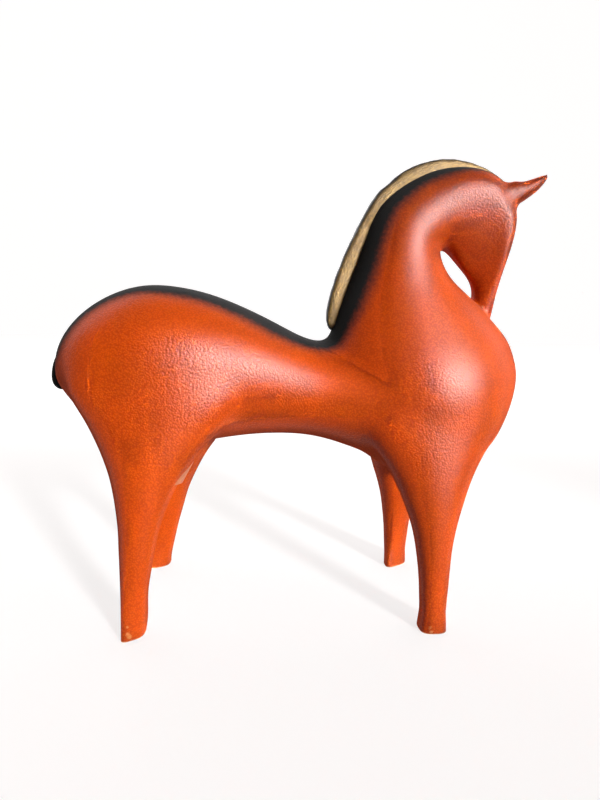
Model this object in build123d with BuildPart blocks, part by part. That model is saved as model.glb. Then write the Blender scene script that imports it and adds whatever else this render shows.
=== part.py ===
# Folk ornament: a hollow fired-clay horse with a bowed head, sprayed orange, with a gilded mane.
# The body is a set of hollow clay pieces luted together end to end, with a clay coil pressed inside each seam.
# Millimetres. +X points to the head, +Y to the horse's left, +Z up. The origin is on the ground under the middle.
import os
from math import hypot

from build123d import *

# Clay and joints
wall = 6.0
leg_wall = 4.0
slip = 0.15
coil_width = 12.0
coil_thickness = 3.0
coil_gap = 0.3

# Seams between the body pieces
rump_seam_x = -36.0
chest_seam_x = 14.0
hind_seam_z = 94.0
front_seam_z = 79.0

# Feet
hind_foot_x = -92.0
front_foot_x = 81.5
foot_spread = 44.5
foot_half_width = 7.5
sole_rounding = 1.2

# Mane, ears and tail
mane_thickness = 9.0
mane_depth = 3.0
mane_rounding = 2.5
ear_spread = 11.5
ear_tenon_diameter = 5.0
ear_tenon_length = 9.0
tail_tenon_diameter = 6.0
tail_tenon_length = 7.0
tenon_clearance = 0.25

# Trunk sections from tail to shoulders: place along the body, height of the back, height of the belly, half width
trunk_rows = [
    (-142.0, 151.0, 141.0, 6.0),
    (-139.5, 160.5, 136.5, 16.0),
    (-133.5, 171.5, 129.5, 27.0),
    (-122.5, 183.0, 118.0, 38.0),
    (-107.5, 192.0, 108.5, 45.0),
    (-90.5, 198.0, 103.0, 49.0),
    (-72.5, 198.0, 101.5, 49.0),
    (-52.5, 193.5, 104.5, 45.5),
    (-32.0, 186.5, 108.0, 40.5),
    (-12.0, 177.0, 110.0, 36.5),
    (8.0, 168.0, 109.0, 35.0),
    (28.0, 166.0, 103.5, 38.0),
    (48.5, 167.0, 96.5, 43.0),
    (64.0, 166.0, 97.0, 40.0),
]

# Forequarter sections from the brisket up the neck, round the throat and down the face to the muzzle:
# rear or crest point, front or throat point, half width
chest_rows = [
    ((73.0, 82.0), (90.0, 83.0), 10.0),
    ((66.5, 84.5), (97.0, 87.0), 22.0),
    ((48.0, 94.0), (119.5, 98.5), 41.0),
    ((33.5, 113.0), (132.0, 117.5), 49.5),
    ((24.0, 136.0), (138.5, 145.0), 52.0),
    ((19.0, 156.0), (135.0, 164.5), 47.0),
]
neck_base_row = ((20.5, 167.5), (126.5, 176.0), 42.0)
lower_neck_rows = [
    ((26.5, 188.5), (109.0, 192.5), 33.5),
    ((33.5, 206.5), (97.0, 202.5), 28.5),
]
neck_middle_row = ((40.0, 226.0), (90.0, 211.5), 25.0)
upper_neck_rows = [
    ((51.5, 245.5), (87.0, 219.5), 22.5),
    ((70.0, 260.5), (87.5, 222.5), 21.0),
]
poll_row = ((89.0, 268.5), (91.0, 223.0), 20.5)
face_rows = [
    ((112.0, 268.0), (95.5, 219.5), 20.5),
    ((130.0, 252.5), (101.5, 212.5), 19.0),
    ((132.5, 231.0), (107.5, 206.0), 16.0),
    ((127.5, 209.5), (111.0, 198.5), 11.5),
]
muzzle_rows = [
    ((122.5, 190.0), (112.0, 190.0), 8.5),
    ((121.0, 175.0), (115.0, 180.0), 7.5),
]

# Leg sections from the sole up: height, rear edge and front edge from the foot's middle, half width,
# and how far the outer side has leaned in
hind_rows = [
    (0.0, -7.0, 7.0, foot_half_width, 0.0),
    (10.0, -7.0, 7.0, 7.5, 0.0),
    (22.0, -6.8, 8.3, 7.5, 0.0),
    (44.0, -6.2, 12.0, 8.5, 0.0),
    (66.0, -6.2, 20.0, 11.0, 0.0),
    (84.0, -9.0, 29.5, 14.0, 0.0),
    (99.0, -14.5, 37.5, 16.5, 0.0),
    (112.0, -21.0, 43.5, 18.5, 0.5),
    (124.0, -26.0, 47.0, 18.5, 2.0),
    (140.0, -25.0, 46.0, 18.5, 6.0),
    (150.0, -20.0, 42.0, 16.0, 11.0),
]
front_rows = [
    (0.0, -8.5, 8.7, foot_half_width, 0.0),
    (14.0, -8.3, 7.5, 7.5, 0.0),
    (29.0, -9.3, 8.5, 8.5, 0.0),
    (42.0, -11.3, 9.2, 9.3, 0.0),
    (54.0, -14.0, 10.3, 10.5, 0.0),
    (66.0, -17.2, 12.7, 12.0, 0.0),
    (78.0, -21.5, 16.0, 14.0, 0.0),
    (90.0, -26.7, 19.8, 16.5, 0.5),
    (99.0, -31.5, 24.5, 18.5, 1.5),
    (114.0, -36.0, 31.5, 20.0, 6.0),
    (122.0, -34.0, 30.0, 17.0, 11.0),
]

# Ear sections from inside the head to the tip: upper point, lower point, half width
ear_rows = [
    ((112.0, 256.0), (122.0, 242.0), 5.5),
    ((123.5, 261.0), (130.5, 249.5), 6.5),
    ((132.0, 263.0), (136.5, 253.5), 5.5),
    ((138.5, 264.5), (141.0, 257.0), 4.0),
    ((143.5, 266.5), (145.0, 261.5), 2.5),
    ((146.5, 267.5), (147.0, 265.5), 1.0),
]

# Tail sections from the top down: rear point, front point, half width
tail_rows = [
    ((-141.0, 159.0), (-134.0, 156.0), 3.5),
    ((-145.5, 152.5), (-136.0, 150.0), 5.5),
    ((-147.0, 146.0), (-137.0, 145.0), 5.5),
    ((-146.0, 141.5), (-139.0, 141.0), 3.5),
]

# Mane outline: the free edge from the withers to the poll, and the crest of the neck under it
mane_edge = [
    (22.0, 172.0),
    (18.0, 184.0),
    (26.5, 215.5),
    (44.0, 250.5),
    (64.0, 268.5),
    (89.0, 275.5),
    (110.0, 272.0),
    (124.0, 264.0),
]
mane_crest = [
    (22.7, 172.5),
    (27.0, 189.5),
    (40.0, 226.0),
    (51.5, 245.5),
    (70.0, 260.5),
    (89.0, 268.5),
    (110.0, 268.5),
    (123.5, 262.0),
]


def oval_plane(rear, front, y):
    middle = ((rear[0] + front[0]) / 2, y, (rear[1] + front[1]) / 2)
    along = (front[0] - rear[0], 0, front[1] - rear[1])
    return Plane(origin=middle, x_dir=along, z_dir=(-along[2], 0, along[0]))


def form(rows, inset=0.0):
    # A smooth body through oval sections; each section can be drawn in by the same inset
    with BuildPart() as shape:
        for rear, front, half_width, y in rows:
            half_length = hypot(front[0] - rear[0], front[1] - rear[1]) / 2
            with BuildSketch(oval_plane(rear, front, y)):
                with BuildLine():
                    for start in (0, 90, 180, 270):
                        EllipticalCenterArc((0, 0), half_length - inset, half_width - inset, start, arc_size=90)
                make_face()
        loft()
    return shape.part


def middle_rows(rows):
    return [(rear, front, half_width, 0.0) for rear, front, half_width in rows]


def leg_rows(rows, foot_x, side):
    # The outer side of the leg stands upright above the foot; the inner side spreads inwards as the leg widens
    outer = foot_spread + foot_half_width
    return [
        ((foot_x + rear, z), (foot_x + front, z), half_width, side * (outer - lean - half_width))
        for z, rear, front, half_width, lean in rows
    ]


def seam_band(outer, inner, plane):
    # The slice of a hollow between two insets, half the coil's width to each side of a seam plane
    with BuildPart() as band:
        add(outer)
        add(inner, mode=Mode.SUBTRACT)
        split(bisect_by=plane.offset(-coil_width / 2), keep=Keep.TOP)
        split(bisect_by=plane.offset(coil_width / 2), keep=Keep.BOTTOM)
    return band.part


def neck_coil(below, above, seam_row):
    # A band of clay pressed inside a neck seam, following the walls on both sides of it
    with BuildPart() as outer:
        add(form(below, wall + coil_gap))
        add(form(above, wall + coil_gap))
    with BuildPart() as inner:
        add(form(below, wall + coil_gap + coil_thickness))
        add(form(above, wall + coil_gap + coil_thickness))
    return seam_band(outer.part, inner.part, oval_plane(seam_row[0], seam_row[1], 0))


def drawn_out(points, room):
    # The same row of points with both ends moved outwards by some room
    ends = []
    for tip, inner in ((points[0], points[1]), (points[-1], points[-2])):
        length = hypot(tip[0] - inner[0], tip[1] - inner[1])
        ends.append((tip[0] + (tip[0] - inner[0]) / length * room, tip[1] + (tip[1] - inner[1]) / length * room))
    return [ends[0]] + points[1:-1] + [ends[1]]


def sunk(points, depth):
    # The crest's points moved square to the crest, into the neck
    moved = []
    for i, point in enumerate(points):
        before = points[max(i - 1, 0)]
        after = points[min(i + 1, len(points) - 1)]
        length = hypot(after[0] - before[0], after[1] - before[1])
        across = ((after[1] - before[1]) / length, (before[0] - after[0]) / length)
        moved.append((point[0] + across[0] * depth, point[1] + across[1] * depth))
    return moved


def mane_strip(room=0.0):
    # The mane's outline, sunk below the crest of the neck, as a strip of even thickness with room round its root
    with BuildPart() as strip:
        with BuildSketch(Plane.XZ):
            with BuildLine():
                edge = Spline(drawn_out(mane_edge, room))
                root = Spline(drawn_out(sunk(mane_crest, mane_depth + room), room))
                Line(edge @ 0, root @ 0)
                Line(edge @ 1, root @ 1)
            make_face()
        extrude(amount=mane_thickness / 2 + room, both=True)
    return strip.part


trunk = [((x, back), (x, belly), half_width, 0.0) for x, back, belly, half_width in trunk_rows]
trunk_body = form(trunk)
trunk_hollow = form(trunk[2:], wall)
trunk_coil_outer = form(trunk[2:], wall + coil_gap)
trunk_coil_inner = form(trunk[2:], wall + coil_gap + coil_thickness)

chest_section = middle_rows(chest_rows + [neck_base_row])
chest_body = form(chest_section)
chest_hollow = form(chest_section[2:], wall)
lower_neck_section = middle_rows([neck_base_row] + lower_neck_rows + [neck_middle_row])
upper_neck_section = middle_rows([neck_middle_row] + upper_neck_rows + [poll_row])
head_section = middle_rows([poll_row] + face_rows + muzzle_rows)
head_hollow = form(middle_rows([poll_row] + face_rows), wall)

rump_seam = Plane.YZ.offset(rump_seam_x)
chest_seam = Plane.YZ.offset(chest_seam_x)
hind_seam = Plane.XY.offset(hind_seam_z)
front_seam = Plane.XY.offset(front_seam_z)


def cut(body, plane, keep):
    with BuildPart() as piece:
        add(body)
        split(bisect_by=plane, keep=keep)
    return piece.part


def leg(rows, seam):
    # A hollow leg from the open sole up to its seam, with the sole's outer edge rounded
    with BuildPart() as shell:
        add(form(rows))
        split(bisect_by=seam, keep=Keep.BOTTOM)
        fillet(shell.edges().group_by(Axis.Z)[0], radius=sole_rounding)
        add(form(rows, leg_wall), mode=Mode.SUBTRACT)
    return shell.part


def leg_coil(rows, seam):
    # Only the wide upper part of the leg has room for a coil
    upper = rows[4:]
    return seam_band(form(upper, leg_wall + coil_gap), form(upper, leg_wall + coil_gap + coil_thickness), seam)


left, right = 1, -1
hind = {side: leg_rows(hind_rows, hind_foot_x, side) for side in (left, right)}
front = {side: leg_rows(front_rows, front_foot_x, side) for side in (left, right)}
haunches = {side: cut(form(hind[side]), hind_seam, Keep.TOP) for side in (left, right)}
shoulders = {side: cut(form(front[side]), front_seam, Keep.TOP) for side in (left, right)}
haunch_hollows = {side: cut(form(hind[side], leg_wall), hind_seam, Keep.TOP) for side in (left, right)}
shoulder_hollows = {side: cut(form(front[side], leg_wall), front_seam, Keep.TOP) for side in (left, right)}
chest_trunk = cut(trunk_body, chest_seam, Keep.TOP)
mane_groove = mane_strip(slip)
neck_front = form(lower_neck_section, -slip)
chest_front = form(chest_section, -slip)
head_skin = form(head_section, -slip)
trunk_skin = form(trunk, -slip)

# Tenons: the ear's runs down the ear's own line into the head, the tail's runs level into the rump
ear_root = ((ear_rows[1][0][0] + ear_rows[1][1][0]) / 2, (ear_rows[1][0][1] + ear_rows[1][1][1]) / 2)
ear_tip = ((ear_rows[5][0][0] + ear_rows[5][1][0]) / 2, (ear_rows[5][0][1] + ear_rows[5][1][1]) / 2)
ear_run = (ear_root[0] - ear_tip[0], 0, ear_root[1] - ear_tip[1])
ear_planes = {
    side: Plane(origin=(ear_root[0], side * ear_spread, ear_root[1]), x_dir=(0, 1, 0), z_dir=ear_run)
    for side in (left, right)
}
tail_plane = Plane(
    origin=(trunk_rows[0][0], 0, (trunk_rows[0][1] + trunk_rows[0][2]) / 2), x_dir=(0, 1, 0), z_dir=(1, 0, 0)
)

with BuildPart() as rump:
    add(trunk_body)
    split(bisect_by=rump_seam, keep=Keep.BOTTOM)
    add(haunches[left])
    add(haunches[right])
    add(trunk_hollow, mode=Mode.SUBTRACT)
    add(haunch_hollows[left], mode=Mode.SUBTRACT)
    add(haunch_hollows[right], mode=Mode.SUBTRACT)
    with BuildSketch(tail_plane):
        Circle(tail_tenon_diameter / 2 + tenon_clearance)
    extrude(amount=tail_tenon_length + tenon_clearance, mode=Mode.SUBTRACT)

with BuildPart() as barrel:
    add(trunk_body)
    split(bisect_by=rump_seam, keep=Keep.TOP)
    split(bisect_by=chest_seam, keep=Keep.BOTTOM)
    add(trunk_hollow, mode=Mode.SUBTRACT)

with BuildPart() as chest:
    add(chest_body)
    add(chest_trunk)
    add(shoulders[left])
    add(shoulders[right])
    add(chest_hollow, mode=Mode.SUBTRACT)
    add(trunk_hollow, mode=Mode.SUBTRACT)
    add(shoulder_hollows[left], mode=Mode.SUBTRACT)
    add(shoulder_hollows[right], mode=Mode.SUBTRACT)

with BuildPart() as lower_neck:
    add(form(lower_neck_section))
    add(form(lower_neck_section, wall), mode=Mode.SUBTRACT)
    add(mane_groove, mode=Mode.SUBTRACT)

with BuildPart() as upper_neck:
    add(form(upper_neck_section))
    add(form(upper_neck_section, wall), mode=Mode.SUBTRACT)
    add(mane_groove, mode=Mode.SUBTRACT)

with BuildPart() as head:
    add(form(head_section))
    add(neck_front, mode=Mode.SUBTRACT)
    add(chest_front, mode=Mode.SUBTRACT)
    add(head_hollow, mode=Mode.SUBTRACT)
    add(mane_groove, mode=Mode.SUBTRACT)
    for side in (left, right):
        with BuildSketch(ear_planes[side]):
            Circle(ear_tenon_diameter / 2 + tenon_clearance)
        extrude(amount=ear_tenon_length + tenon_clearance, mode=Mode.SUBTRACT)


def ear(side):
    # A solid horn-like ear cut to the head's surface, with a tenon down its own line
    with BuildPart() as horn:
        add(form([(upper, lower, half_width, side * ear_spread) for upper, lower, half_width in ear_rows]))
        add(head_skin, mode=Mode.SUBTRACT)
        with BuildSketch(ear_planes[side]):
            Circle(ear_tenon_diameter / 2)
        extrude(amount=ear_tenon_length)
    return horn.part


with BuildPart() as left_ear:
    add(ear(left))

with BuildPart() as right_ear:
    add(ear(right))

with BuildPart() as mane:
    add(mane_strip())
    fillet(mane.edges().sort_by(SortBy.LENGTH)[-2:], radius=mane_rounding)

with BuildPart() as tail:
    add(form(middle_rows(tail_rows)))
    add(trunk_skin, mode=Mode.SUBTRACT)
    with BuildSketch(tail_plane):
        Circle(tail_tenon_diameter / 2)
    extrude(amount=tail_tenon_length)

with BuildPart() as left_hind_leg:
    add(leg(hind[left], hind_seam))

with BuildPart() as right_hind_leg:
    add(leg(hind[right], hind_seam))

with BuildPart() as left_front_leg:
    add(leg(front[left], front_seam))

with BuildPart() as right_front_leg:
    add(leg(front[right], front_seam))

with BuildPart() as rump_seam_coil:
    add(seam_band(trunk_coil_outer, trunk_coil_inner, rump_seam))

with BuildPart() as chest_seam_coil:
    add(seam_band(trunk_coil_outer, trunk_coil_inner, chest_seam))

with BuildPart() as neck_base_coil:
    add(neck_coil(chest_section[2:], lower_neck_section, neck_base_row))

with BuildPart() as neck_middle_coil:
    add(neck_coil(lower_neck_section, upper_neck_section, neck_middle_row))

with BuildPart() as poll_coil:
    add(neck_coil(upper_neck_section, middle_rows([poll_row] + face_rows), poll_row))

with BuildPart() as hind_leg_coils:
    add(leg_coil(hind[left], hind_seam))
    add(leg_coil(hind[right], hind_seam))

with BuildPart() as front_leg_coils:
    add(leg_coil(front[left], front_seam))
    add(leg_coil(front[right], front_seam))

nodes = {
    "rump": rump,
    "barrel": barrel,
    "chest": chest,
    "lower_neck": lower_neck,
    "upper_neck": upper_neck,
    "head": head,
    "left_ear": left_ear,
    "right_ear": right_ear,
    "mane": mane,
    "tail": tail,
    "left_hind_leg": left_hind_leg,
    "right_hind_leg": right_hind_leg,
    "left_front_leg": left_front_leg,
    "right_front_leg": right_front_leg,
    "rump_seam_coil": rump_seam_coil,
    "chest_seam_coil": chest_seam_coil,
    "neck_base_coil": neck_base_coil,
    "neck_middle_coil": neck_middle_coil,
    "poll_coil": poll_coil,
    "hind_leg_coils": hind_leg_coils,
    "front_leg_coils": front_leg_coils,
}
os.makedirs("parts", exist_ok=True)
for name, node in nodes.items():
    node.part.label = name
    export_step(node.part, f"parts/{name}.step")
    box = node.part.bounding_box()
    print(name, len(node.part.solids()), "solid", round(node.part.volume / 1000, 1), "cm3", box.min, box.max)
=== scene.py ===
import math

import bpy
import numpy as np
from mathutils import Matrix, Vector
from mathutils.bvhtree import BVHTree


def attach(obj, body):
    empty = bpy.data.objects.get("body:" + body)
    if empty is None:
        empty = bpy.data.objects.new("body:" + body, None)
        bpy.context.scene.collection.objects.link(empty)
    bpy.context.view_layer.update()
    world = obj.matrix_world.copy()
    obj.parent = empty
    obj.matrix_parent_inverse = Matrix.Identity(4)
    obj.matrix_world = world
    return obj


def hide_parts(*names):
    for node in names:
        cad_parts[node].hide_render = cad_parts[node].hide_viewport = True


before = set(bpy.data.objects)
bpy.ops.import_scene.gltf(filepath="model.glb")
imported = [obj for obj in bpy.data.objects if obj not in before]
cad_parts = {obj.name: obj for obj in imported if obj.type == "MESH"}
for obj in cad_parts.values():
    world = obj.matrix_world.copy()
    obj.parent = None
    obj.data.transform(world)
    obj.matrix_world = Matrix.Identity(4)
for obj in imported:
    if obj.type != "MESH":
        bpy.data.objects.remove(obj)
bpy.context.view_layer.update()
mm = 0.001
left, right = 1, -1  # the right side is the near one in the photograph
print("frame loaded,", len(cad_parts), "nodes")

# Sizes in the dictionaries are millimetres in the frame of the solids, where nothing else is said.
# A station is an oval section: rear or upper point (x, z), front or lower point (x, z), half width, y.
# Its shape is (squareness, skew, wedge): 2 is an oval and more is squarer, the skew slides y along x,
# and a wedge is wider at the rear or upper point.

trunk = {
    "rows": [  # x, height of the back, height of the belly, half width
        (-142, 151, 141, 6), (-139.5, 161.2, 136.5, 16), (-133.5, 172.5, 129.5, 27),
        (-122.5, 183.8, 118, 38), (-107.5, 192.8, 108.5, 45), (-90.5, 197.7, 103, 49),
        (-72.5, 197.6, 101.5, 49), (-52.5, 193.7, 104.6, 45.5), (-32, 186.3, 107.8, 40.5),
        (-12, 177, 109.1, 36.5), (8, 168, 108.1, 35), (28, 166, 103.1, 38), (48.5, 167, 96.5, 43),
        (64, 166, 97, 40),
    ],
    "wall": 6.0,
    "hollowFrom": 2,
}

forequarter = {
    "chestStations": [
        ((73, 82), (90, 83), 10, 0), ((66.5, 84.5), (97, 87), 22, 0), ((48, 94), (117.6, 99), 41, 0),
        ((33.5, 113), (131.3, 118), 49.5, 0), ((24, 136), (137.9, 145), 52, 0),
        ((19, 156), (134, 164.5), 47, 0),
    ],
    "neckStations": [
        ((20.5, 167.5), (126.5, 176), 42, 0), ((26.5, 188.5), (109.4, 193), 33.5, 0),
        ((33.5, 206.5), (97.5, 203), 28.5, 0), ((39.8, 226.1), (90.3, 211.7), 25, 0),
        ((48.7, 247.4), (87, 219.5), 22.5, 0), ((68, 263.2), (87.5, 222.5), 21, 0),
    ],
    "headStations": [
        ((89, 270.9), (91, 223), 20, 0), ((112.3, 268.8), (95.5, 219.5), 18.3, 0),
        ((127.9, 252.8), (101.8, 212.6), 15.4, 0), ((129.4, 231), (107.4, 206), 12.9, 0),
        ((125.2, 209.3), (110.5, 198.5), 10.6, 0), ((122.7, 190), (110.2, 191.2), 8.7, 0),
        ((121.8, 175.5), (110.5, 184.5), 7.5, 0),
    ],
    "headSquareness": [2.0, 2.5, 3.1, 3.2, 2.8, 2.3, 2.0],  # flat cheeks that meet the forehead in a ridge
    "headWedge": [0.1, 0.36, 0.6, 0.6, 0.4, 0.15, 0.0],  # wider at the forehead than at the jaw
    "wall": 6.0,
    "hollowSections": (2, -2),  # the first two and the last two sections stay solid
}

legs = {
    "outside": 52.0,  # outer faces of the legs from the middle plane
    "wall": 4.0,
    "stub": 4.0,  # what each leg is made longer by, before its sole is cut flat
    "footX": {"hind": -92.0, "front": 81.5},
    "footSquareness": 3.4,
    "footHeight": 40.0,  # the squarer section of the foot fades out up to here
    "skew": {("hind", right): 0.55, ("hind", left): 0.45, ("front", right): 0.0, ("front", left): 0.55},
    "rows": {  # height, rear and front from the middle of the foot, half width, lean towards the middle
        ("hind", right): [
            (0, -6.3, 5.7, 6.5, 1), (8, -6.3, 6.9, 6.6, 1), (22, -6.4, 7.6, 7, 0.6),
            (33, -6.9, 9.1, 8, 0.2), (44, -7.3, 11.2, 8.6, 0), (55, -7.7, 13.2, 9.6, 0),
            (66, -8.3, 16, 11, 0), (84, -11.1, 23.4, 14, 0), (99, -15.4, 33.4, 16.5, 0),
            (112, -21.6, 44, 18.5, 0.3), (124, -28.2, 55, 19, 0.8), (138, -36.7, 65, 19, 2),
            (152, -42, 70, 17, 5),
        ],
        ("hind", left): [
            (0, -7.3, 5.8, 6.8, 0.6), (8, -7.1, 6.8, 6.8, 0.6), (22, -6.8, 10, 7.2, 0.4),
            (33, -6.5, 12.7, 8, 0.2), (44, -6.3, 15.9, 8.6, 0), (55, -6.5, 19, 9.6, 0),
            (66, -7.2, 23.2, 11, 0), (84, -10.2, 32.2, 14, 0), (99, -15, 42.5, 16.5, 0),
            (112, -21.2, 52, 18.5, 0.3), (124, -27.5, 62, 19, 0.8), (138, -36, 70, 19, 2),
            (152, -42, 73, 17, 5),
        ],
        ("front", right): [
            (0, -8.1, 8, 7.5, 0), (8, -7.4, 7.5, 7.5, 0), (14, -7.5, 7.3, 7.5, 0),
            (29, -8.5, 8.4, 8.5, 0), (42, -10.2, 9.3, 9.3, 0), (54, -12.2, 10.7, 10.5, 0),
            (66, -15.4, 13.3, 12, 0), (78, -20.2, 17, 14, 0), (90, -26.2, 21.9, 16.5, 0),
            (99, -32, 26.7, 18.5, 0.2), (112, -41, 34, 20, 0.7), (126, -47, 42, 20, 1.5),
            (140, -50, 45, 18, 4),
        ],
        ("front", left): [
            (0, -9.2, 8.1, 7, 3.5), (8, -9.2, 7.6, 7, 3.5), (14, -9.4, 7.5, 7.2, 3.2),
            (29, -10.4, 8.4, 8.2, 2.6), (42, -11.9, 9.6, 9.1, 2), (54, -14, 10.9, 10.4, 1.4),
            (66, -17.4, 13.3, 12, 0.8), (78, -21.8, 17, 14, 0.4), (90, -26.7, 21.9, 16.5, 0.2),
            (99, -32, 26.7, 18.5, 0.2), (112, -41, 34, 20, 0.7), (126, -47, 42, 20, 1.5),
            (140, -50, 45, 18, 4),
        ],
    },
}

ears = {
    "spread": 11.5,
    "stations": [
        ((113, 258.5), (122, 242), 5.5), ((123, 262.2), (129.3, 248.6), 6.5),
        ((130.5, 262.4), (135.3, 253.2), 5.5), ((137.6, 264.4), (140.5, 257.3), 4),
        ((143, 266.3), (144.6, 262), 2.5), ((146.4, 267.8), (147, 265.6), 1),
    ],
}

skinMake = {
    "around": 32,  # points round a section
    "fewAround": 20,  # and round an ear or the tail
    "levels": 2,
    "voxel": 1.0,
    "softReach": {"trunk": 26.0, "fore": 26.0, "hind": 20.0, "front": 20.0, "ear": 4.5},
    "softRounds": 320,  # how long the wet clay was smoothed where two forms meet
    "evenRounds": 5,
    "smoothing": 0.5,
    "steadyRounds": 22,  # pairs of a smoothing and a swelling, which take out the voxel steps
    "steadyPair": (0.6, -0.63),  # the swelling is the larger, so the size is kept
    "seamReach": 4.0,  # a seam is cut through faces up to this far from its plane
    "weld": 0.01,
    "creaseAngle": 40,
}


def selectOnly(*chosen):
    bpy.ops.object.select_all(action="DESELECT")
    for piece in chosen:
        piece.select_set(True)
    bpy.context.view_layer.objects.active = chosen[0]


def useModifier(piece, kind, **settings):
    selectOnly(piece)
    modifier = piece.modifiers.new(kind.lower(), kind)
    for name, value in settings.items():
        setattr(modifier, name, value)
    bpy.ops.object.modifier_apply(modifier=modifier.name)


def placesOf(piece, what="vertices", field="co"):  # points of a mesh as rows of x, y, z
    parts = getattr(piece.data, what)
    values = np.empty(len(parts) * 3)
    parts.foreach_get(field, values)
    return values.reshape(-1, 3)


def turnRing(direction, middle):  # headless, a positive turn about Y goes from X to Z
    bpy.ops.transform.rotate(value=direction, orient_axis="Y", center_override=middle)


def ringForm(name, stations, shapes=None, around=skinMake["around"], inset=0.0):
    wanted = np.array([(*rear, *front, halfWidth, y) for rear, front, halfWidth, y in stations], float)
    weights = np.eye(len(wanted))
    for row in range(1, len(wanted) - 1):
        weights[row, row - 1:row + 2] = 1 / 6, 2 / 3, 1 / 6
    rings = np.linalg.solve(weights, wanted)  # the subdivided skin then passes through the stations
    swell = 3 / (2 + math.cos(2 * math.pi / around))  # makes up for what subdividing a ring draws in
    bpy.ops.object.select_all(action="DESELECT")
    bpy.ops.mesh.primitive_circle_add(vertices=around, radius=1.0, fill_type="NGON", location=(0, 0, 0))
    form = bpy.context.object
    form.name = name
    bpy.ops.object.mode_set(mode="EDIT")
    bpy.ops.mesh.select_all(action="SELECT")
    oldMiddle, oldTurn, oldLong, oldWide = Vector((0, 0, 0)), 0.0, 1.0, 1.0
    sizes = []
    for count, (rearX, rearZ, frontX, frontZ, halfWidth, y) in enumerate(rings):
        middle = Vector(((rearX + frontX) / 2, y, (rearZ + frontZ) / 2)) * mm
        newTurn = math.atan2(frontZ - rearZ, frontX - rearX)
        newLong = (math.hypot(frontX - rearX, frontZ - rearZ) / 2 * swell - inset) * mm
        newWide = (halfWidth * swell - inset) * mm
        if count:
            bpy.ops.mesh.extrude_region_move(TRANSFORM_OT_translate={"value": middle - oldMiddle})
        else:
            bpy.ops.transform.translate(value=middle)
        turnRing(-oldTurn, middle)
        bpy.ops.transform.resize(value=(newLong / oldLong, newWide / oldWide, 1), center_override=middle)
        turnRing(newTurn, middle)
        oldMiddle, oldTurn, oldLong, oldWide = middle, newTurn, newLong, newWide
        sizes.append((middle, newTurn, newLong, newWide))
    bpy.ops.mesh.select_all(action="SELECT")
    bpy.ops.mesh.normals_make_consistent(inside=False)
    bpy.ops.object.mode_set(mode="OBJECT")
    for count, shape in enumerate(shapes or []):
        squareRing(form.data.vertices[count * around:(count + 1) * around], sizes[count], *shape)
    useModifier(form, "SUBSURF", levels=skinMake["levels"], render_levels=skinMake["levels"])
    return form


def squareRing(ring, size, squareness, skew, wedge):  # from an oval towards a rounded rectangle
    middle, turn, halfLong, halfWide = size
    along = Vector((math.cos(turn), 0, math.sin(turn)))
    for vertex in ring:
        reach = (vertex.co - middle).dot(along) / halfLong
        aside = (vertex.co.y - middle.y) / halfWide
        grow = (abs(reach) ** squareness + abs(aside) ** squareness) ** (-1 / squareness)
        offset = along * (reach * grow * halfLong)
        wide = aside * grow * halfWide * (1 - wedge * reach * grow)
        vertex.co = middle + offset + Vector((0, wide + skew * offset.x, 0))


def legStations(which, side, extra):
    rows = legs["rows"][which, side]
    footX = legs["footX"][which]
    return [
        ((footX + rear, z), (footX + front, z), halfWidth, side * (legs["outside"] - lean - halfWidth))
        for z, rear, front, halfWidth, lean in [(-extra, *rows[0][1:])] + rows
    ]


def legShapes(which, side, stations):
    shapes = []
    for (_, z), _, _, _ in stations:
        share = min(1, max(0, 1 - z / legs["footHeight"]))
        shapes.append((2 + share * (legs["footSquareness"] - 2), share * legs["skew"][which, side], 0.0))
    return shapes


trunkStations = [((x, back), (x, belly), halfWidth, 0) for x, back, belly, halfWidth in trunk["rows"]]
foreStations = forequarter["chestStations"] + forequarter["neckStations"] + forequarter["headStations"]
plainCount = len(foreStations) - len(forequarter["headStations"])
foreShapes = [(2.0, 0.0, 0.0)] * plainCount
for squareness, wedge in zip(forequarter["headSquareness"], forequarter["headWedge"]):
    foreShapes.append((squareness, 0.0, wedge))

forms = {
    ("trunk", 0): ringForm("trunkForm", trunkStations),
    ("fore", 0): ringForm("foreForm", foreStations, foreShapes),
}
legNames = [(which, side) for which in ("hind", "front") for side in (left, right)]
for which, side in legNames:
    stations = legStations(which, side, legs["stub"])
    forms[which, side] = ringForm("legForm", stations, legShapes(which, side, stations))
for side in (left, right):
    earStations = [(*station, side * ears["spread"]) for station in ears["stations"]]
    forms["ear", side] = ringForm("earForm", earStations, around=skinMake["fewAround"])
print("forms thrown:", len(forms))

selectOnly(*forms.values())
bpy.ops.object.duplicate()
bpy.ops.object.join()
skin = bpy.context.object
skin.name = "skin"
useModifier(skin, "REMESH", mode="VOXEL", voxel_size=skinMake["voxel"] * mm)
useModifier(skin, "SMOOTH", factor=skinMake["smoothing"], iterations=skinMake["evenRounds"])
print("skin:", len(skin.data.polygons), "faces")


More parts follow.
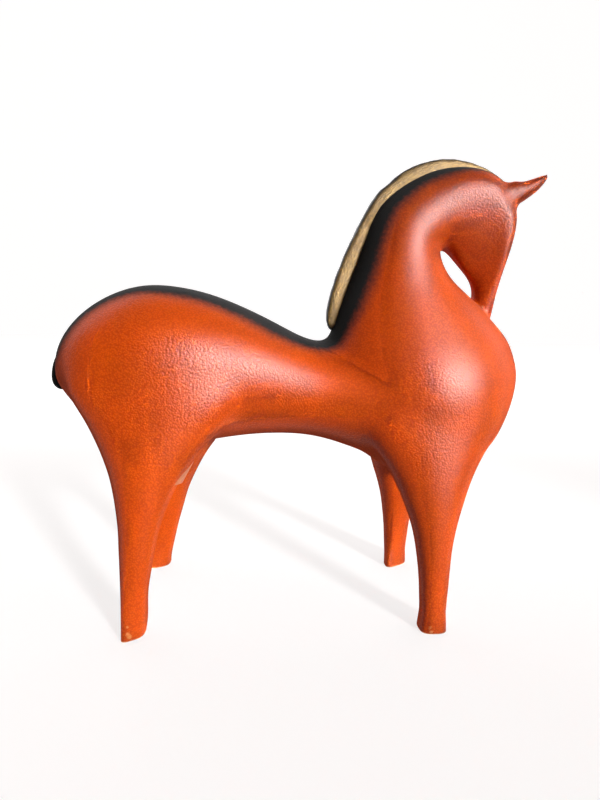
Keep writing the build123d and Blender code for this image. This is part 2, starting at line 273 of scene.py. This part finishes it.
def softenJoins(skin, forms):  # weight is full on a join of two forms, and fades out over their reach
    places = placesOf(skin)
    reaches = np.array([skinMake["softReach"][kind] for kind, _ in forms]) * mm
    away = np.full((len(places), len(forms)), 1.0)  # a metre is out of reach
    graph = bpy.context.evaluated_depsgraph_get()
    for column, form in enumerate(forms.values()):
        corners = np.array([corner[:] for corner in form.bound_box])
        reach = reaches[column]
        near = np.all((places > corners.min(0) - reach) & (places < corners.max(0) + reach), axis=1)
        tree = BVHTree.FromObject(form, graph)
        for index in np.flatnonzero(near):
            away[index, column] = tree.find_nearest(places[index])[3]
    closest = away.argmin(axis=1)
    closeness = np.clip(1 - away / np.minimum(reaches[None, :], reaches[closest][:, None]), 0, 1)
    closeness[np.arange(len(places)), closest] = 0
    weight = closeness.max(axis=1)
    group = skin.vertex_groups.new(name="soft")
    for index in np.flatnonzero(weight > 0.01):
        group.add([int(index)], float(weight[index]), "REPLACE")
    useModifier(skin, "SMOOTH", factor=skinMake["smoothing"], iterations=skinMake["softRounds"],
                vertex_group="soft")
    skin.vertex_groups.clear()


softenJoins(skin, forms)
for count in range(skinMake["steadyRounds"]):
    for factor in skinMake["steadyPair"]:
        useModifier(skin, "SMOOTH", factor=factor, iterations=1)
selectOnly(skin)
bpy.ops.object.mode_set(mode="EDIT")
bpy.ops.mesh.select_all(action="SELECT")
bpy.ops.mesh.bisect(plane_co=(0, 0, 0), plane_no=(0, 0, 1), clear_inner=True,
                    threshold=skinMake["weld"] * mm)  # flat soles
bpy.ops.object.mode_set(mode="OBJECT")
print("joins softened, soles cut")

seams = {  # two points (x, z) of each seam plane, and the box (x, y, z) that holds the seam
    "rump": {"line": [(-36, 0), (-36, 200)], "low": (-50, -60, 90), "high": (-20, 60, 210)},
    "chest": {"line": [(14, 0), (14, 200)], "low": (5, -60, 90), "high": (25, 60, 200)},
    "hindLegs": {"line": [(-120, 94), (-40, 94)], "low": (-150, -60, 85), "high": (0, 60, 103)},
    "frontLegs": {"line": [(40, 79), (120, 79)], "low": (30, -60, 70), "high": (130, 60, 88)},
    "neckBase": {"line": [(20.5, 167.5), (126.5, 176)], "low": (10, -60, 158), "high": (140, 60, 186)},
    "neckMiddle": {"line": [(40, 226), (90, 211.5)], "low": (30, -40, 200), "high": (96, 40, 236)},
    "poll": {"line": [(89, 268.5), (91, 223)], "low": (82, -40, 217), "high": (100, 40, 280)},
    "muzzle": {"line": [(109, 193.5), (126.5, 177)], "low": (107.5, -14, 176), "high": (128, 14, 196)},
    "leftEar": {"line": [(125.5, 264), (132.5, 249.5)], "low": (120, 3, 246), "high": (140, 21, 272)},
    "rightEar": {"line": [(125.5, 264), (132.5, 249.5)], "low": (120, -21, 246), "high": (140, -3, 272)},
}


def cutSeam(skin, line, low, high):
    (startX, startZ), (endX, endZ) = line
    point = Vector((startX, 0, startZ)) * mm
    across = Vector((startZ - endZ, 0, endX - startX)).normalized()
    middles = placesOf(skin, "polygons", "center")
    inside = np.all((middles > np.array(low) * mm) & (middles < np.array(high) * mm), axis=1)
    inside &= np.abs((middles - np.array(point)) @ np.array(across)) < skinMake["seamReach"] * mm
    selectOnly(skin)
    bpy.ops.object.mode_set(mode="EDIT")
    bpy.ops.mesh.select_mode(type="FACE")
    bpy.ops.mesh.select_all(action="DESELECT")
    bpy.ops.object.mode_set(mode="OBJECT")
    skin.data.polygons.foreach_set("select", inside)
    bpy.ops.object.mode_set(mode="EDIT")
    bpy.ops.mesh.select_mode(type="EDGE")
    bpy.ops.mesh.bisect(plane_co=point, plane_no=across, threshold=skinMake["weld"] * mm)
    bpy.ops.mesh.edge_split(type="EDGE")
    bpy.ops.object.mode_set(mode="OBJECT")


for seam in seams.values():
    cutSeam(skin, **seam)
selectOnly(skin)
bpy.ops.object.mode_set(mode="EDIT")
bpy.ops.mesh.select_all(action="SELECT")
bpy.ops.mesh.separate(type="LOOSE")
bpy.ops.object.mode_set(mode="OBJECT")
shells = list(bpy.context.selected_objects)
print("pieces cut:", len(shells))

shellPlaces = {  # a point on the skin of each piece, under the name of the node that it stands for
    "rump": (-90, -49, 150), "barrel": (-10, -36, 140), "chest": (80, -51, 135),
    "lower_neck": (65, -30, 195), "upper_neck": (62, -23, 240), "head": (112, -19, 240),
    "left_ear": (140, 11.5, 265),
    "right_ear": (140, -11.5, 265), "left_hind_leg": (-92, 50, 40), "right_hind_leg": (-92, -50, 40),
    "left_front_leg": (81, 50, 40), "right_front_leg": (81, -50, 40),
}
pieces = {}
for node, place in shellPlaces.items():
    point = Vector(place) * mm
    gaps = [(piece.closest_point_on_mesh(point)[1] - point).length for piece in shells]
    pieces[node] = shells[gaps.index(min(gaps))]

trunkHollow = ringForm("trunkHollow", trunkStations[trunk["hollowFrom"]:], inset=trunk["wall"])
foreSections = slice(*forequarter["hollowSections"])
foreHollow = ringForm("foreHollow", foreStations[foreSections], inset=forequarter["wall"])
legHollows = {}
for which, side in legNames:
    stations = legStations(which, side, 2 * legs["stub"])
    legHollows[which, side] = ringForm("legHollow", stations, inset=legs["wall"])
hollows = {
    "rump": [trunkHollow, legHollows["hind", left], legHollows["hind", right]],
    "barrel": [trunkHollow],
    "chest": [foreHollow, trunkHollow, legHollows["front", left], legHollows["front", right]],
    "lower_neck": [foreHollow], "upper_neck": [foreHollow], "head": [foreHollow],
    "left_hind_leg": [legHollows["hind", left]], "right_hind_leg": [legHollows["hind", right]],
    "left_front_leg": [legHollows["front", left]], "right_front_leg": [legHollows["front", right]],
}
for node, piece in pieces.items():
    selectOnly(piece)
    bpy.ops.object.mode_set(mode="EDIT")
    bpy.ops.mesh.select_mode(type="EDGE")
    bpy.ops.mesh.select_all(action="DESELECT")
    bpy.ops.mesh.select_non_manifold(extend=False)
    bpy.ops.mesh.fill_holes(sides=0)
    bpy.ops.object.mode_set(mode="OBJECT")
    for hollow in hollows.get(node, []):
        useModifier(piece, "BOOLEAN", operation="DIFFERENCE", solver="MANIFOLD", object=hollow)
print("shells hollowed")

mane = {
    "edge": [(22, 172), (18.8, 184), (27.3, 215.3), (44.2, 250.3), (53.3, 260.4), (64.2, 269.1),
             (86.5, 276), (108.5, 273.1), (119.5, 268.5), (127.3, 264.4)],
    "crest": [(22.7, 172.5), (27, 189.5), (40, 226), (51.5, 245.5), (60.3, 253.9), (70, 260.5), (88, 268.5),
              (108, 268.3), (118.3, 265), (126.5, 262)],
    "halfThickness": [4.5, 4.5, 4.5, 4.5, 4.5, 4.5, 4.5, 4.0, 2.8, 1.2],
    "depth": 3.0,  # the root sits this deep in the neck
    "squareness": 4.0,
    "voxel": 0.6,
    "evenRounds": 4,
    "unevenness": 0.8,  # hand-pressed slab
    "unevenSize": 7.0,
}
tail = {
    "stations": [
        ((-140.5, 161), (-133, 157), 3.5, 0), ((-145, 152.5), (-136, 150), 5.5, 0),
        ((-146.9, 143.5), (-136.8, 142.5), 5.5, 0), ((-146, 138), (-138.3, 137), 4.3, 0),
        ((-143.3, 134.9), (-139.6, 134.4), 2.3, 0),
    ],
}
maneStations = []
for (edgeX, edgeZ), (crestX, crestZ), halfWidth in zip(mane["edge"], mane["crest"], mane["halfThickness"]):
    outward = Vector((edgeX - crestX, edgeZ - crestZ)).normalized() * mane["depth"]
    maneStations.append(((edgeX, edgeZ), (crestX - outward.x, crestZ - outward.y), halfWidth, 0))
maneShapes = [(mane["squareness"], 0.0, 0.0)] * len(maneStations)
pieces["mane"] = ringForm("mane", maneStations, maneShapes)
pieces["tail"] = ringForm("tail", tail["stations"], around=skinMake["fewAround"])
for node in ("chest", "lower_neck", "upper_neck", "head"):
    useModifier(pieces[node], "BOOLEAN", operation="DIFFERENCE", solver="MANIFOLD", object=pieces["mane"])
useModifier(pieces["mane"], "REMESH", mode="VOXEL", voxel_size=mane["voxel"] * mm)
useModifier(pieces["mane"], "SMOOTH", factor=skinMake["smoothing"], iterations=mane["evenRounds"])
uneven = bpy.data.textures.new("handPressed", "CLOUDS")
uneven.noise_scale = mane["unevenSize"] * mm
useModifier(pieces["mane"], "DISPLACE", texture=uneven, strength=mane["unevenness"] * mm, mid_level=0.5)
print("mane and tail set")

spray = {  # black airbrushed along the back and beside the mane: point (x, z) on the ridge, half width
    "line": [
        ((-143, 134), 9), ((-146.5, 145), 14), ((-139.5, 160.5), 26), ((-133.5, 172), 28),
        ((-122.5, 183.5), 26), ((-107.5, 192.5), 24.5), ((-90.5, 198), 24.5), ((-72.5, 197.7), 24.5),
        ((-52.5, 193.5), 24), ((-32, 186.5), 24), ((-12, 177), 24.5), ((8, 168), 21), ((22, 171), 21),
        ((27, 189.5), 25), ((33.5, 206.5), 23.5), ((40, 226), 21), ((51.5, 245.5), 18.5),
        ((70, 260.5), 16), ((89, 268.5), 15.5), ((110, 268.5), 13.5), ((125, 262.5), 8),
    ],
    "solid": 0.76,  # share of the half width that is covered, and where the last mist ends
    "mist": 1.3,
}
knocks = {  # small chips in the paint: point (x, y, z) and radius
    "places": [((-93.6, -52, 5), 1.7), ((-93, -52, 2.5), 1.6), ((-93.9, -52, 9), 0.9),
               ((78.5, -52, 4), 1.5), ((79, -52, 1.5), 1.3), ((113, -6, 191.6), 0.9),
               ((114.6, -7.5, 189.6), 1.0),
               ((116.8, -8.1, 187.4), 0.8), ((-99, 52, 3), 1.4), ((74, 46, 2), 1.3)],
}


def followLine(places, line):  # distance from a line of (x, z) points, and how many points along it that is
    best = np.full(len(places), 1e9)
    along = np.zeros(len(places))
    for count, ((startX, startZ), (endX, endZ)) in enumerate(zip(line, line[1:])):
        start = np.array((startX, 0, startZ))
        step = np.array((endX, 0, endZ)) - start
        part = np.clip((places - start) @ step / (step @ step), 0, 1)
        away = np.linalg.norm(places - start - part[:, None] * step, axis=1)
        closer = away < best
        best[closer] = away[closer]
        along[closer] = count + part[closer]
    return best, along


def keepValue(piece, name, values, kind="FLOAT", field="value"):
    attribute = piece.data.attributes.new(name, kind, "POINT")
    attribute.data.foreach_set(field, np.ascontiguousarray(values, dtype=np.float32).ravel())


def markPaint(piece):  # how far each point lies from the sprayed ridge and from the nearest chip
    places = placesOf(piece) / mm
    away, along = followLine(places, [point for point, _ in spray["line"]])
    halfWidths = np.interp(along, range(len(spray["line"])), [halfWidth for _, halfWidth in spray["line"]])
    keepValue(piece, "sprayed", away / halfWidths)
    chips = [np.linalg.norm(places - np.array(point), axis=1) / size for point, size in knocks["places"]]
    keepValue(piece, "knocked", np.min(chips, axis=0))


def markMane(piece):  # millimetres along the band, across it, and how near a side face each point is
    places = placesOf(piece) / mm
    away, along = followLine(places, mane["crest"])
    steps = np.hypot(*np.diff(np.array(mane["crest"]), axis=0).T)
    reach = np.interp(along, range(len(mane["crest"])), np.concatenate([[0], np.cumsum(steps)]))
    keepValue(piece, "band", np.stack([reach, places[:, 1], away], axis=1), "FLOAT_VECTOR", "vector")
    thick = np.interp(along, range(len(mane["crest"])), mane["halfThickness"])
    keepValue(piece, "sideways", np.abs(places[:, 1]) / thick)


def linear(code):  # sRGB hex to the linear colour that a shader reads
    parts = [int(code[place:place + 2], 16) / 255 for place in (1, 3, 5)]
    return (*[part / 12.92 if part <= 0.04045 else ((part + 0.055) / 1.055) ** 2.4 for part in parts], 1.0)


def addNode(tree, kind, settings=None, links=None):
    node = tree.nodes.new(kind)
    for name, value in (settings or {}).items():
        if isinstance(name, str) and hasattr(node, name):
            setattr(node, name, value)
        else:
            node.inputs[name].default_value = value
    for name, socket in (links or {}).items():
        tree.links.new(socket, node.inputs[name])
    return node


def newMaterial(name):
    material = bpy.data.materials.new(name)
    material.use_nodes = True
    material.node_tree.nodes.clear()
    return material, material.node_tree


def perMetre(size):  # texture scale for features of a size in millimetres
    return 1 / (size * mm)


paint = {
    "orange": ("#b43d03", "#c44b05"),
    # painted shade: the hollows between the grains are drawn in this darker red
    "pit": "#7c2202",
    "black": "#0c0c0c",
    "clay": "#c8844c",
    "driftSize": 40,
    "peelSize": 2.2,
    "grainSize": 1.05,  # the real grain is finer, this is as coarse as it needs to be to show
    "grainTurn": (0.6, 0.45, 0.9),  # radians, so that no row of grains lies along an axis
    "grainHeight": 0.032,
    # how far the painted shade darkens the hollows between the grains
    "pitShadeShare": 0.38,
    "looseMist": 0.2,
    "wornRim": (0.2, 1.6),  # heights between which the paint on a sole's rim goes from bare to whole
    "roughness": (0.33, 0.95),  # satin face on, dull at a slant and under the black
    "ior": 1.22,  # under the usual 1.45, because the photograph shows little gloss outside its highlights
}


def paintedClay():  # fired clay under satin paint: orange, a fine peel that sparkles, a matt black mist
    material, tree = newMaterial("sprayedOrangeClay")
    where = addNode(tree, "ShaderNodeTexCoord").outputs["Object"]
    drift = addNode(tree, "ShaderNodeTexNoise", {"Scale": perMetre(paint["driftSize"]), "Detail": 2},
                    {"Vector": where})
    orange = addNode(tree, "ShaderNodeMix",
                     {"data_type": "RGBA", 6: linear(paint["orange"][0]), 7: linear(paint["orange"][1])},
                     {"Factor": drift.outputs["Fac"]})
    aslant = addNode(tree, "ShaderNodeMapping", {"Rotation": paint["grainTurn"]}, {"Vector": where})
    peel = addNode(tree, "ShaderNodeTexNoise", {"Scale": perMetre(paint["peelSize"]), "Detail": 2},
                   {"Vector": aslant.outputs["Vector"]})
    grain = addNode(tree, "ShaderNodeTexVoronoi",
                    {"feature": "SMOOTH_F1", "Scale": perMetre(paint["grainSize"]), "Smoothness": 0.2},
                    {"Vector": aslant.outputs["Vector"]})
    # painted shade: darker where the grain's relief is lowest, in the hollows between the grains
    pits = addNode(tree, "ShaderNodeMapRange",
                   {"From Min": 0.3, "From Max": 0.62, "To Min": 0.0, "To Max": paint["pitShadeShare"]},
                   {"Value": grain.outputs["Distance"]})
    pitShaded = addNode(tree, "ShaderNodeMix", {"data_type": "RGBA", 7: linear(paint["pit"])},
                       {"Factor": pits.outputs["Result"], 6: orange.outputs[2]})
    sprayed = addNode(tree, "ShaderNodeAttribute", {"attribute_name": "sprayed"})
    loose = addNode(tree, "ShaderNodeMath",
                    {"operation": "MULTIPLY_ADD", 1: paint["looseMist"], 2: -paint["looseMist"] / 2},
                    {0: peel.outputs["Fac"]})
    shifted = addNode(tree, "ShaderNodeMath", {"operation": "ADD"},
                      {0: sprayed.outputs["Fac"], 1: loose.outputs["Value"]})
    cover = addNode(tree, "ShaderNodeMapRange",
                    {"interpolation_type": "SMOOTHSTEP", "From Min": spray["solid"],
                     "From Max": spray["mist"], "To Min": 1.0, "To Max": 0.0},
                    {"Value": shifted.outputs["Value"]})
    painted = addNode(tree, "ShaderNodeMix", {"data_type": "RGBA", 7: linear(paint["black"])},
                      {"Factor": cover.outputs["Result"], 6: pitShaded.outputs[2]})
    height = addNode(tree, "ShaderNodeSeparateXYZ", None, {"Vector": where})
    worn = addNode(tree, "ShaderNodeMapRange",
                   {"From Min": paint["wornRim"][0] * mm, "From Max": paint["wornRim"][1] * mm,
                    "To Min": 0.3, "To Max": 2.0}, {"Value": height.outputs["Z"]})
    knocked = addNode(tree, "ShaderNodeAttribute", {"attribute_name": "knocked"})
    nearest = addNode(tree, "ShaderNodeMath", {"operation": "MINIMUM"},
                      {0: worn.outputs["Result"], 1: knocked.outputs["Fac"]})
    ragged = addNode(tree, "ShaderNodeMath", {"operation": "MULTIPLY_ADD", 1: 1.6},
                     {0: peel.outputs["Fac"], 2: nearest.outputs["Value"]})
    bare = addNode(tree, "ShaderNodeMapRange",
                   {"From Min": 1.3, "From Max": 1.75, "To Min": 0.8, "To Max": 0.0},
                   {"Value": ragged.outputs["Value"]})
    colour = addNode(tree, "ShaderNodeMix", {"data_type": "RGBA", 7: linear(paint["clay"])},
                     {"Factor": bare.outputs["Result"], 6: painted.outputs[2]})
    relief = addNode(tree, "ShaderNodeMath", {"operation": "MULTIPLY_ADD", 1: -5.0},
                     {0: grain.outputs["Distance"], 2: peel.outputs["Fac"]})
    bump = addNode(tree, "ShaderNodeBump", {"Strength": 1.0, "Distance": paint["grainHeight"] * mm},
                   {"Height": relief.outputs["Value"]})
    slant = addNode(tree, "ShaderNodeLayerWeight", {"Blend": 0.5})  # the peel hides its gloss at a slant
    faint = addNode(tree, "ShaderNodeMapRange",
                    {"interpolation_type": "SMOOTHSTEP", "From Min": 0.4, "From Max": 0.85},
                    {"Value": slant.outputs["Facing"]})
    matt = addNode(tree, "ShaderNodeMath", {"operation": "MAXIMUM"},
                   {0: faint.outputs["Result"], 1: cover.outputs["Result"]})
    dull = addNode(tree, "ShaderNodeMapRange",
                   {"To Min": paint["roughness"][0], "To Max": paint["roughness"][1]},
                   {"Value": matt.outputs["Value"]})
    shader = addNode(tree, "ShaderNodeBsdfPrincipled", {"IOR": paint["ior"]},
                     {"Base Color": colour.outputs[2], "Roughness": dull.outputs["Result"],
                      "Normal": bump.outputs["Normal"]})
    addNode(tree, "ShaderNodeOutputMaterial", None, {"Surface": shader.outputs["BSDF"]})
    return material


gilding = {
    "gold": ("#513c1d", "#856833"),
    "rubbed": "#4e3f28",
    "pit": "#2c2112",
    "edge": "#100d0a",
    "strokes": (0.42, 1.3, 1.3),  # streaks per millimetre along the band, across it and out from the neck
    "driftSize": 9,
    "pitSize": 2.0,
    "reliefHeight": 0.4,
    "metal": 0.3,
    "roughness": 0.5,
    "ior": 1.3,  # powder in a thin binder, not solid metal
}


def gildedClay():  # clay slab brushed with bronze powder: khaki gold, broken by fine dark streaks
    material, tree = newMaterial("rubbedBronzePowder")
    where = addNode(tree, "ShaderNodeTexCoord").outputs["Object"]
    band = addNode(tree, "ShaderNodeAttribute", {"attribute_name": "band"})
    strokes = addNode(tree, "ShaderNodeMapping", {"Scale": gilding["strokes"]},
                      {"Vector": band.outputs["Vector"]})
    dashes = addNode(tree, "ShaderNodeTexNoise",
                     {"Scale": 1.0, "Detail": 3, "Roughness": 0.6, "Distortion": 0.6},
                     {"Vector": strokes.outputs["Vector"]})
    rubbed = addNode(tree, "ShaderNodeMapRange", {"From Min": 0.24, "From Max": 0.66},
                     {"Value": dashes.outputs["Fac"]})
    drift = addNode(tree, "ShaderNodeTexNoise", {"Scale": perMetre(gilding["driftSize"]), "Detail": 2},
                    {"Vector": where})
    gold = addNode(tree, "ShaderNodeMix",
                   {"data_type": "RGBA", 6: linear(gilding["gold"][0]), 7: linear(gilding["gold"][1])},
                   {"Factor": drift.outputs["Fac"]})
    laid = addNode(tree, "ShaderNodeMix", {"data_type": "RGBA", 6: linear(gilding["rubbed"])},
                   {"Factor": rubbed.outputs["Result"], 7: gold.outputs[2]})
    holes = addNode(tree, "ShaderNodeTexVoronoi", {"Scale": perMetre(gilding["pitSize"])},
                    {"Vector": where})
    pits = addNode(tree, "ShaderNodeMapRange",
                   {"From Min": 0.08, "From Max": 0.2, "To Min": 0.55, "To Max": 0.0},
                   {"Value": holes.outputs["Distance"]})
    pitted = addNode(tree, "ShaderNodeMix", {"data_type": "RGBA", 7: linear(gilding["pit"])},
                     {"Factor": pits.outputs["Result"], 6: laid.outputs[2]})
    sideways = addNode(tree, "ShaderNodeAttribute", {"attribute_name": "sideways"})
    rim = addNode(tree, "ShaderNodeMapRange",
                  {"From Min": 0.72, "From Max": 0.88, "To Min": 1.0, "To Max": 0.0},
                  {"Value": sideways.outputs["Fac"]})
    colour = addNode(tree, "ShaderNodeMix", {"data_type": "RGBA", 7: linear(gilding["edge"])},
                     {"Factor": rim.outputs["Result"], 6: pitted.outputs[2]})
    sheen = addNode(tree, "ShaderNodeMapRange", {"To Min": gilding["metal"], "To Max": 0.0},
                    {"Value": rim.outputs["Result"]})
    relief = addNode(tree, "ShaderNodeMath", {"operation": "MULTIPLY_ADD", 1: -0.8},
                     {0: pits.outputs["Result"], 2: dashes.outputs["Fac"]})
    bump = addNode(tree, "ShaderNodeBump", {"Strength": 1.0, "Distance": gilding["reliefHeight"] * mm},
                   {"Height": relief.outputs["Value"]})
    shader = addNode(tree, "ShaderNodeBsdfPrincipled",
                     {"Roughness": gilding["roughness"], "IOR": gilding["ior"]},
                     {"Base Color": colour.outputs[2], "Metallic": sheen.outputs["Result"],
                      "Normal": bump.outputs["Normal"]})
    addNode(tree, "ShaderNodeOutputMaterial", None, {"Surface": shader.outputs["BSDF"]})
    return material


rawClay = {
    "shades": ("#9a5636", "#b8714a"),
    "grogSize": 1.5,
    "grogHeight": 0.2,
    "roughness": 0.85,
    "ior": 1.5,
}


def bareClay():  # unpainted fired clay inside the seams: dull, with fine grog
    material, tree = newMaterial("bareFiredClay")
    where = addNode(tree, "ShaderNodeTexCoord").outputs["Object"]
    grog = addNode(tree, "ShaderNodeTexNoise", {"Scale": perMetre(rawClay["grogSize"]), "Detail": 4},
                   {"Vector": where})
    darker, lighter = (linear(shade) for shade in rawClay["shades"])
    colour = addNode(tree, "ShaderNodeMix", {"data_type": "RGBA", 6: darker, 7: lighter},
                     {"Factor": grog.outputs["Fac"]})
    bump = addNode(tree, "ShaderNodeBump", {"Strength": 0.6, "Distance": rawClay["grogHeight"] * mm},
                   {"Height": grog.outputs["Fac"]})
    shader = addNode(tree, "ShaderNodeBsdfPrincipled",
                     {"Roughness": rawClay["roughness"], "IOR": rawClay["ior"]},
                     {"Base Color": colour.outputs[2], "Normal": bump.outputs["Normal"]})
    addNode(tree, "ShaderNodeOutputMaterial", None, {"Surface": shader.outputs["BSDF"]})
    return material


finishes = {"painted_clay": paintedClay(), "gilded_clay": gildedClay(), "bare_clay": bareClay()}
for node, piece in pieces.items():
    piece.name = node + "_shell"
    selectOnly(piece)
    bpy.ops.object.shade_smooth_by_angle(angle=math.radians(skinMake["creaseAngle"]))
    if node == "mane":
        markMane(piece)
    else:
        markPaint(piece)
    piece.data.materials.clear()
    piece.data.materials.append(finishes["gilded_clay" if node == "mane" else "painted_clay"])
    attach(piece, "root")
    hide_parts(node)
for name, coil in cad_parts.items():
    if "coil" in name:
        for slot in coil.material_slots:
            slot.material = finishes["bare_clay"]
selectOnly(*forms.values(), trunkHollow, foreHollow, *legHollows.values())
bpy.ops.object.delete()
print("pieces finished:", len(pieces))

camera = {
    "place": (-22.4, -331.2, 181.4),
    "yaw": 4.49,
    "pitch": 8.90,
    "roll": 1.2,
    "lens": 24.0,
    "sensor": 36.0,
}
yaw, pitch, roll = (math.radians(camera[name]) for name in ("yaw", "pitch", "roll"))
ahead = Vector((math.sin(yaw) * math.cos(pitch), math.cos(yaw) * math.cos(pitch), -math.sin(pitch)))
level = Vector((math.cos(yaw), -math.sin(yaw), 0))
upright = level.cross(ahead)
across = level * math.cos(roll) + upright * math.sin(roll)
upward = upright * math.cos(roll) - level * math.sin(roll)
bpy.ops.object.camera_add()
shot = bpy.context.object
shot.data.lens = camera["lens"]
shot.data.sensor_width = camera["sensor"]
shot.data.clip_start = 10 * mm
turned = Matrix((across, upward, -ahead)).transposed().to_4x4()
shot.matrix_world = Matrix.Translation(Vector(camera["place"]) * mm) @ turned
bpy.context.scene.camera = shot

studio = {  # metres, degrees and watts
    "floorSize": 8.0,
    "wallHeight": 5.0,
    "paper": "#8c8c8c",
    "glow": 0.71,
    "dimGlow": 0.42,  # the sweep dims to this between these, on the side of the camera and out of its sight
    "dim": (-0.6, -0.17),
    "farGlow": 0.26,  # and it is whiter behind the object, between these
    "far": (0.0, 1.0),
    "fill": "#ffa87c",  # warm light in the shades, as in the photograph
    "sky": 0.19,
    "seenSky": 0.5,
    "lamps": {  # degrees right of the camera side and up, distance, width, height, power, spread, aim
        "window": (34, 18, 1.3, 0.72, 0.30, 1.2, 10.6, 0.08),  # low, so the body gets more than the head
        "pane": (34, 12, 1.3, 0.78, 1.25, 126.0, 180, 0.15),
        "side": (85, 25, 2.5, 3.2, 2.2, 28.0, 180, 0.15),
        "back": (150, 25, 2.5, 3.2, 2.2, 44.0, 180, 0.15),
        "rear": (-140, 30, 2.5, 3.2, 2.2, 40.0, 180, 0.15),
    },
    "glossOnly": ["pane"],  # it draws the highlights and lights nothing
}
bpy.ops.object.select_all(action="DESELECT")
bpy.ops.mesh.primitive_plane_add(size=studio["floorSize"], location=(0, 0, 0))
floor = bpy.context.object
floor.name = "floor"
bpy.ops.object.mode_set(mode="EDIT")
bpy.ops.mesh.select_mode(type="EDGE")
bpy.ops.mesh.select_all(action="DESELECT")
bpy.ops.object.mode_set(mode="OBJECT")
for edge in floor.data.edges:
    edge.select = all(floor.data.vertices[corner].co.y > 0 for corner in edge.vertices)
bpy.ops.object.mode_set(mode="EDIT")
backdrop = (0, 0, studio["wallHeight"])
bpy.ops.mesh.extrude_region_move(TRANSFORM_OT_translate={"value": backdrop})
bpy.ops.object.mode_set(mode="OBJECT")


def seenByLens(tree):  # 1 for what the lens sees, also in a mirror or through glass
    path = addNode(tree, "ShaderNodeLightPath")
    mirrored = addNode(tree, "ShaderNodeMath", {"operation": "MAXIMUM"},
                       {0: path.outputs["Is Glossy Ray"], 1: path.outputs["Is Transmission Ray"]})
    seen = addNode(tree, "ShaderNodeMath", {"operation": "MAXIMUM"},
                   {0: path.outputs["Is Camera Ray"], 1: mirrored.outputs["Value"]})
    return seen.outputs["Value"]


floorPaint, tree = newMaterial("mattPaperSweep")  # matt white paper, which glows where the lens sees it
seen = seenByLens(tree)
where = addNode(tree, "ShaderNodeTexCoord").outputs["Object"]
apart = addNode(tree, "ShaderNodeSeparateXYZ", None, {"Vector": where})
reached = addNode(tree, "ShaderNodeMapRange",
                  {"interpolation_type": "SMOOTHSTEP", "From Min": studio["dim"][0],
                   "From Max": studio["dim"][1], "To Min": studio["dimGlow"], "To Max": studio["glow"]},
                  {"Value": apart.outputs["Y"]})
behind = addNode(tree, "ShaderNodeMapRange",
                 {"interpolation_type": "SMOOTHSTEP", "From Min": studio["far"][0],
                  "From Max": studio["far"][1], "To Max": studio["farGlow"]}, {"Value": apart.outputs["Y"]})
summed = addNode(tree, "ShaderNodeMath", {"operation": "ADD"},
                 {0: reached.outputs["Result"], 1: behind.outputs["Result"]})
strength = addNode(tree, "ShaderNodeMath", {"operation": "MULTIPLY"},
                   {0: seen, 1: summed.outputs["Value"]})
glow = addNode(tree, "ShaderNodeEmission", {"Color": (1, 1, 1, 1)}, {"Strength": strength.outputs["Value"]})
paper = addNode(tree, "ShaderNodeBsdfDiffuse", {"Color": linear(studio["paper"])})
both = addNode(tree, "ShaderNodeAddShader", None, {0: paper.outputs["BSDF"], 1: glow.outputs["Emission"]})
addNode(tree, "ShaderNodeOutputMaterial", None, {"Surface": both.outputs["Shader"]})
floor.data.materials.append(floorPaint)

for name, (aside, above, distance, width, height, power, spread, aim) in studio["lamps"].items():
    aside, above = math.radians(aside), math.radians(above)
    level = math.cos(above)
    toward = Vector((math.sin(aside) * level, -math.cos(aside) * level, math.sin(above)))
    bpy.ops.object.light_add(type="AREA", location=Vector((0, 0, aim)) + toward * distance)
    light = bpy.context.object
    light.name = name + "Light"
    light.data.shape = "RECTANGLE"
    light.data.size = width
    light.data.size_y = height
    light.data.energy = power
    light.data.spread = math.radians(spread)
    light.visible_camera = False
    light.visible_diffuse = name not in studio["glossOnly"]
    light.rotation_euler = (-toward).to_track_quat("-Z", "Y").to_euler()

world = bpy.data.worlds.new("studioWorld")
bpy.context.scene.world = world
world.use_nodes = True
tree = world.node_tree
tree.nodes.clear()
seen = seenByLens(tree)
fill = addNode(tree, "ShaderNodeBackground", {"Color": linear(studio["fill"]), "Strength": studio["sky"]})
plain = addNode(tree, "ShaderNodeBackground", {"Color": (1, 1, 1, 1), "Strength": studio["seenSky"]})
soft = addNode(tree, "ShaderNodeMixShader", None,
               {0: seen, 1: fill.outputs["Background"], 2: plain.outputs["Background"]})
addNode(tree, "ShaderNodeOutputWorld", None, {"Surface": soft.outputs["Shader"]})
bpy.context.scene.view_settings.view_transform = "Standard"
